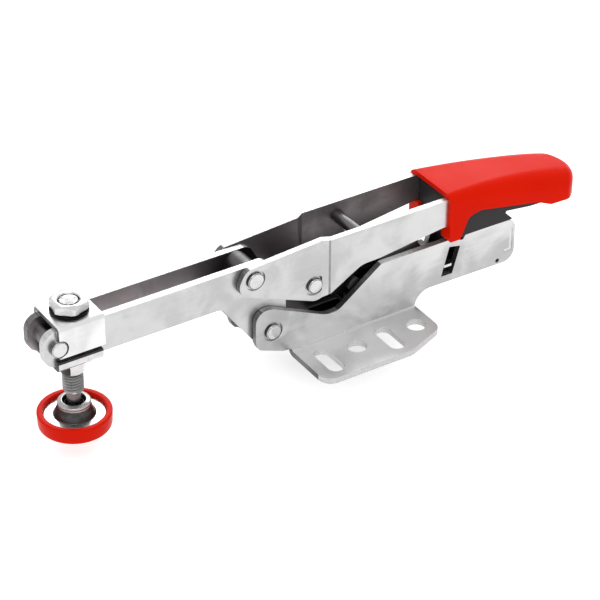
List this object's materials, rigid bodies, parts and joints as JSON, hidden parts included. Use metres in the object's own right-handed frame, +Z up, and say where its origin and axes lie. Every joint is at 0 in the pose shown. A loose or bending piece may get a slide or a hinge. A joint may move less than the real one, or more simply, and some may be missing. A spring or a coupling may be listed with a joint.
{
  "type": "toggle clamp",
  "caption": "Horizontal toggle clamp with an open arm: a hand lever presses a swivel pad down over centre, on a flanged sheet-metal base with bolt holes and slots.",
  "frame": {"origin": "on the mounting face, midway between the four round bolt holes", "axes": "+X from the arm's tip towards the grip, +Z up from the mounting face, +Y across; the clamp is closed at rest"},
  "size_m": [0.2405, 0.069, 0.0553],
  "materials": {
    "zinc_plate": "satin, bright zinc plated sheet",
    "rivet_steel": "smooth bright steel",
    "plain_steel": "dull steel",
    "zinc_hardware": "satin zinc plated",
    "dark_washer": "blackened, matte",
    "bright_plate": "mirror bright",
    "ring_plastic": "matte",
    "grip_red": "fine satin",
    "cap_red": "satin",
    "grip_dark": "matte"
  },
  "bodies": {
    "base": {"base_near_plate": "zinc_plate", "base_far_plate": "zinc_plate", "arm_pivot_rivet": "rivet_steel", "tail_end_plate": "zinc_plate"},
    "arm": {"arm_near_wall": "zinc_plate", "arm_far_wall": "zinc_plate", "arm_tip_rivet": "rivet_steel", "arm_pivot_bush": "plain_steel", "handle_pivot_bush": "plain_steel"},
    "handle": {"handle_near_plate": "zinc_plate", "handle_far_plate": "zinc_plate", "handle_pivot_rivet": "rivet_steel", "link_pivot_rivet": "rivet_steel", "handle_spacer": "rivet_steel", "grip_shell": "grip_red", "grip_insert": "grip_dark"},
    "link": {"toggle_link": "plain_steel", "link_end_pin": "rivet_steel"},
    "carriage": {"carriage": "plain_steel"},
    "lock": {"lock_plate": "plain_steel"},
    "spindle_mount": {"spindle_saddle": "zinc_plate", "spindle_washer": "dark_washer", "spindle_nut": "zinc_hardware", "clamp_plate": "zinc_plate"},
    "spindle": {"spindle": "zinc_hardware"},
    "pad_ring": {"pad_ring": "ring_plastic"},
    "pad": {"pad_cup": "bright_plate", "pad_cap": "cap_red"}
  },
  "joints": [
    {"name": "arm_pivot", "type": "hinge", "parent": "base", "child": "arm", "pos_m": [-0.0449, 0, 0.0146], "axis": [0, 1, 0], "range_deg": [0, 90]},
    {"name": "handle_pivot", "type": "hinge", "parent": "arm", "child": "handle", "pos_m": [-0.0526, 0, 0.0402], "axis": [0, -1, 0], "range_deg": [0, 153]},
    {"name": "link_pivot", "type": "hinge", "parent": "handle", "child": "link", "pos_m": [-0.0263, 0, 0.0288], "axis": [0, 1, 0], "range_deg": [0, 153.3]},
    {"name": "carriage_slide", "type": "slide", "parent": "base", "child": "carriage", "axis": [1, 0, 0], "range_m": [0, 0.008]},
    {"name": "lock_slide", "type": "slide", "parent": "base", "child": "lock", "axis": [0.27, 0, 0.9629], "range_m": [-0.0025, 0.0055]},
    {"name": "spindle_position", "type": "slide", "parent": "arm", "child": "spindle_mount", "axis": [1, 0, 0], "range_m": [0, 0.03]},
    {"name": "spindle_height", "type": "slide", "parent": "spindle_mount", "child": "spindle", "axis": [0, 0, 1], "range_m": [-0.008, 0.004]},
    {"name": "pad_tilt_y", "type": "hinge", "parent": "spindle", "child": "pad_ring", "pos_m": [-0.1249, 0, 0.0036], "axis": [0, 1, 0], "range_deg": [-7, 7]},
    {"name": "pad_tilt_x", "type": "hinge", "parent": "pad_ring", "child": "pad", "pos_m": [-0.1249, 0, 0.0036], "axis": [1, 0, 0], "range_deg": [-7, 7]}
  ],
  "couplings": [
    {"joint": "handle_pivot", "follows": "arm_pivot", "ratio": 1.7},
    {"joint": "link_pivot", "follows": "arm_pivot", "ratio": 1.703}
  ]
}
